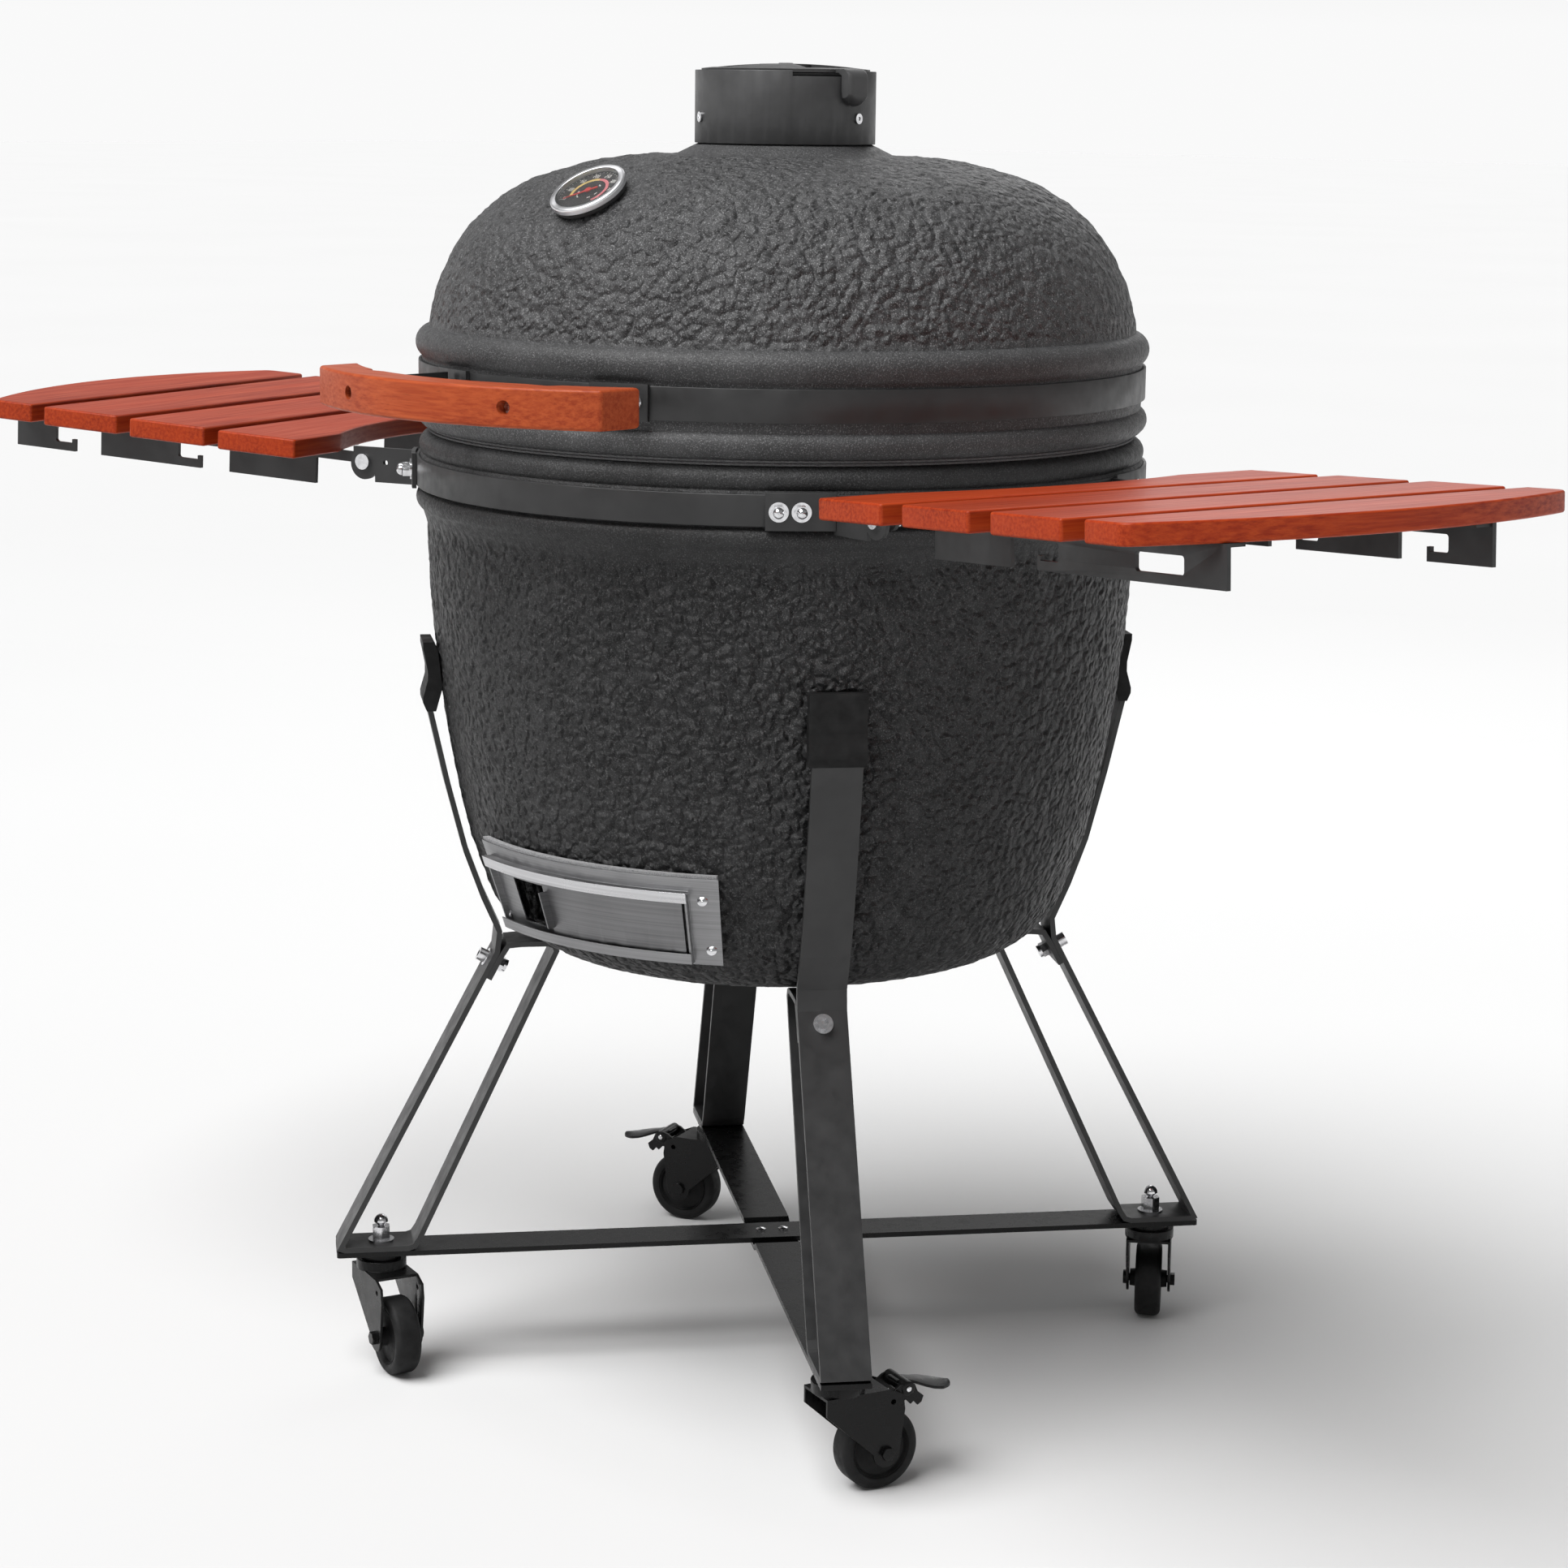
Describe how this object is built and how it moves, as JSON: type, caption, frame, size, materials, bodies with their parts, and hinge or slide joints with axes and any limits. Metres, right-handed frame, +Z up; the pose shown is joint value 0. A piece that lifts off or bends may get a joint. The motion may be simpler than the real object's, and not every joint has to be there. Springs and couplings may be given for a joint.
{
  "type": "kamado ceramic grill",
  "caption": "Egg-shaped ceramic charcoal grill with hinged lid, folding wooden side shelves and a four-leg rolling cart.",
  "frame": {"origin": "on the floor, at the middle of the footprint box; the ceramic body's vertical axis is 31.5 mm behind it", "axes": "+Z up, -Y to the front where the lid handle and thermometer are, +X to the grill's right-hand shelf as seen from the front"},
  "size_m": [1.6048, 0.873, 1.2365],
  "materials": {
    "ceramic_shell": "dark grey crackle glaze",
    "refractory": "rough",
    "black_coat": "satin black powder coat",
    "cast_black": "matte",
    "grate_iron": "rough",
    "stainless": "brushed",
    "chrome_parts": "polished",
    "wood_shelf": "stained satin",
    "wood_grip": "stained satin",
    "black_rubber": "matte",
    "felt": "braided",
    "dial_face": "matte",
    "needle_red": "satin",
    "lens_glass": "clear"
  },
  "bodies": {
    "base": {"base_bowl": "ceramic_shell", "base_band": "black_coat", "base_gasket": "felt", "firebox": "refractory", "fire_ring": "refractory", "charcoal_grate": "grate_iron", "cooking_grate": "stainless", "draft_frame": "stainless", "draft_gasket": "felt", "draft_screws": "chrome_parts", "hinge_lower": "black_coat", "hinge_pin": "chrome_parts", "hinge_springs": "stainless", "shelf_arms_left": "black_coat", "shelf_arms_right": "black_coat", "shelf_pivots": "chrome_parts", "base_band_nuts": "chrome_parts", "leg_front_left": "black_coat", "leg_front_right": "black_coat", "leg_rear_right": "black_coat", "leg_rear_left": "black_coat", "leg_pads": "black_rubber", "leg_bolts": "chrome_parts", "crossbar_wide": "black_coat", "crossbar_deep": "black_coat", "crossbar_screws": "chrome_parts", "caster_stems": "chrome_parts"},
    "lid": {"lid_dome": "ceramic_shell", "lid_band": "black_coat", "lid_gasket": "felt", "vent_housing": "cast_black", "vent_screws": "chrome_parts", "thermometer_case": "chrome_parts", "thermometer_dial": "dial_face", "thermometer_lens": "lens_glass", "thermometer_probe": "stainless", "handle_grip": "wood_grip", "handle_bracket_left": "black_coat", "handle_bracket_right": "black_coat", "handle_bolts": "chrome_parts", "hinge_upper": "black_coat"},
    "vent_cap": {"vent_damper": "cast_black"},
    "needle": {"thermometer_needle": "needle_red"},
    "draft_door": {"draft_door": "stainless"},
    "draft_screen": {"draft_screen": "stainless"},
    "left_shelf": {"shelf_slats_left": "wood_shelf", "shelf_brackets_left": "black_coat"},
    "right_shelf": {"shelf_slats_right": "wood_shelf", "shelf_brackets_right": "black_coat"},
    "caster_front_left": {"caster_fork_front_left": "black_coat"},
    "wheel_front_left": {"wheel_front_left": "black_rubber"},
    "caster_front_right": {"caster_fork_front_right": "black_coat"},
    "wheel_front_right": {"wheel_front_right": "black_rubber"},
    "caster_rear_right": {"caster_fork_rear_right": "black_coat"},
    "wheel_rear_right": {"wheel_rear_right": "black_rubber"},
    "caster_rear_left": {"caster_fork_rear_left": "black_coat"},
    "wheel_rear_left": {"wheel_rear_left": "black_rubber"},
    "brake_front_right": {"brake_front_right": "black_coat"},
    "brake_rear_left": {"brake_rear_left": "black_coat"}
  },
  "joints": [
    {"name": "lid_hinge", "type": "hinge", "parent": "base", "child": "lid", "pos_m": [0, 0.4235, 0.906], "axis": [-1, 0, 0], "range_deg": [0, 80]},
    {"name": "vent_damper_turn", "type": "hinge", "parent": "lid", "child": "vent_cap", "pos_m": [0, 0.0315, 1.22], "axis": [0, 0, 1], "range_deg": [-31, 0]},
    {"name": "needle_turn", "type": "hinge", "parent": "lid", "child": "needle", "pos_m": [0, -0.22591, 1.1233], "axis": [0, -0.5592, 0.829], "range_deg": [-250, 0]},
    {"name": "draft_door_slide", "type": "hinge", "parent": "base", "child": "draft_door", "pos_m": [0, 0.0315, 0.49], "axis": [0, 0, 1], "range_deg": [-15, 0]},
    {"name": "draft_screen_slide", "type": "hinge", "parent": "base", "child": "draft_screen", "pos_m": [0, 0.0315, 0.49], "axis": [0, 0, 1], "range_deg": [-15, 0]},
    {"name": "left_shelf_fold", "type": "hinge", "parent": "base", "child": "left_shelf", "pos_m": [-0.35434, -0.06014, 0.862], "axis": [0.2504, -0.9681, 0], "range_deg": [0, 87]},
    {"name": "right_shelf_fold", "type": "hinge", "parent": "base", "child": "right_shelf", "pos_m": [0.35434, -0.06014, 0.862], "axis": [0.2504, 0.9681, 0], "range_deg": [0, 87]},
    {"name": "swivel_front_left", "type": "hinge", "parent": "base", "child": "caster_front_left", "pos_m": [-0.24286, -0.26207, 0.1], "axis": [0, 0, 1], "continuous": true},
    {"name": "wheel_spin_front_left", "type": "hinge", "parent": "caster_front_left", "child": "wheel_front_left", "pos_m": [-0.20738, -0.27568, 0.0375], "axis": [0.3584, 0.9336, 0], "continuous": true},
    {"name": "swivel_front_right", "type": "hinge", "parent": "base", "child": "caster_front_right", "pos_m": [0.29357, -0.21136, 0.1], "axis": [0, 0, 1], "continuous": true},
    {"name": "wheel_spin_front_right", "type": "hinge", "parent": "caster_front_right", "child": "wheel_front_right", "pos_m": [0.30718, -0.17588, 0.0375], "axis": [-0.9336, 0.3584, 0], "continuous": true},
    {"name": "swivel_rear_right", "type": "hinge", "parent": "base", "child": "caster_rear_right", "pos_m": [0.24286, 0.32507, 0.1], "axis": [0, 0, 1], "continuous": true},
    {"name": "wheel_spin_rear_right", "type": "hinge", "parent": "caster_rear_right", "child": "wheel_rear_right", "pos_m": [0.22161, 0.35657, 0.0375], "axis": [-0.829, -0.5592, 0], "continuous": true},
    {"name": "swivel_rear_left", "type": "hinge", "parent": "base", "child": "caster_rear_left", "pos_m": [-0.29357, 0.27436, 0.1], "axis": [0, 0, 1], "continuous": true},
    {"name": "wheel_spin_rear_left", "type": "hinge", "parent": "caster_rear_left", "child": "wheel_rear_left", "pos_m": [-0.32971, 0.26262, 0.0375], "axis": [0.309, -0.9511, 0], "continuous": true},
    {"name": "brake_pedal_front_right", "type": "hinge", "parent": "caster_front_right", "child": "brake_front_right", "pos_m": [0.30933, -0.17028, 0.084], "axis": [-0.9336, 0.3584, 0], "range_deg": [0, 12]},
    {"name": "brake_pedal_rear_left", "type": "hinge", "parent": "caster_rear_left", "child": "brake_rear_left", "pos_m": [-0.33541, 0.26076, 0.084], "axis": [0.309, -0.9511, 0], "range_deg": [0, 12]}
  ]
}
